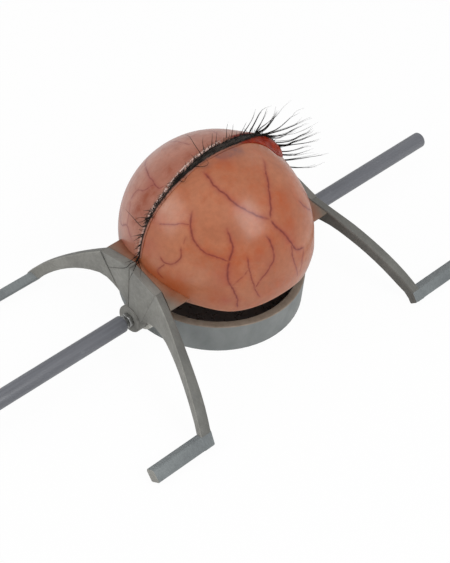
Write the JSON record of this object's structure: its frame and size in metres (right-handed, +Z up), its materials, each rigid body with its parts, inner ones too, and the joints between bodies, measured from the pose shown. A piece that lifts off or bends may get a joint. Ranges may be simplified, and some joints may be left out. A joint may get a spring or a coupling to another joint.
{
  "type": "eyelid model",
  "caption": "Eyelid demonstration model: hinged half domes with lashes, over a short ring, opened by bent side levers on through bolts, with support rods.",
  "frame": {"origin": "centre of the base ring's underside", "axes": "+Z up, X along the hinge line and the support rods, with the long lashes at +X; the lower lid lies on the -Y side and the upper lid on the +Y side"},
  "size_m": [0.599, 0.2621, 0.1792],
  "materials": {
    "grey_plastic": "scuffed satin grey",
    "ring_plastic": "satin grey",
    "rod_plastic": "satin dark grey",
    "black_lining": "glossy black",
    "zinc_steel": "zinc plated",
    "white_nylon": "natural white nylon",
    "lower_skin": "hand painted skin with veins under gloss lacquer",
    "upper_skin": "hand painted skin with veins under gloss lacquer",
    "margin_red": "glossy red paint",
    "lash_black": "black bristle set in glue"
  },
  "bodies": {
    "base": {"base_ring": "ring_plastic", "black_lining": "black_lining", "left_pivot_stud": "zinc_steel", "right_pivot_stud": "zinc_steel", "left_inner_nut": "zinc_steel", "right_inner_nut": "zinc_steel", "left_inner_washer": "zinc_steel", "right_inner_washer": "zinc_steel", "left_nylon_washer": "white_nylon", "right_nylon_washer": "white_nylon", "left_outer_nut": "zinc_steel", "right_outer_nut": "zinc_steel", "left_support_rod": "rod_plastic", "right_support_rod": "rod_plastic"},
    "lower_lid": {"lower_lid_shell": "lower_skin", "left_lower_flange": "grey_plastic", "right_lower_flange": "grey_plastic", "left_lower_plate": "grey_plastic", "right_lower_plate": "grey_plastic", "left_lower_hub": "grey_plastic", "right_lower_hub": "grey_plastic", "left_lower_lever": "grey_plastic", "right_lower_lever": "grey_plastic"},
    "upper_lid": {"upper_lid_shell": "upper_skin", "upper_lid_margin": "margin_red", "left_upper_flange": "grey_plastic", "right_upper_flange": "grey_plastic", "left_upper_plate": "grey_plastic", "right_upper_plate": "grey_plastic", "left_upper_lug": "grey_plastic", "right_upper_lug": "grey_plastic", "left_upper_lever": "grey_plastic", "right_upper_lever": "grey_plastic", "lashes_left": "lash_black", "lashes_middle_left": "lash_black", "lashes_middle_right": "lash_black", "lashes_right": "lash_black"}
  },
  "joints": [
    {"name": "lower_lid_hinge", "type": "hinge", "parent": "base", "child": "lower_lid", "pos_m": [0, 0, 0.021], "axis": [1, 0, 0], "range_deg": [0, 55]},
    {"name": "upper_lid_hinge", "type": "hinge", "parent": "base", "child": "upper_lid", "pos_m": [0, 0, 0.021], "axis": [-1, 0, 0], "range_deg": [0, 55]}
  ]
}
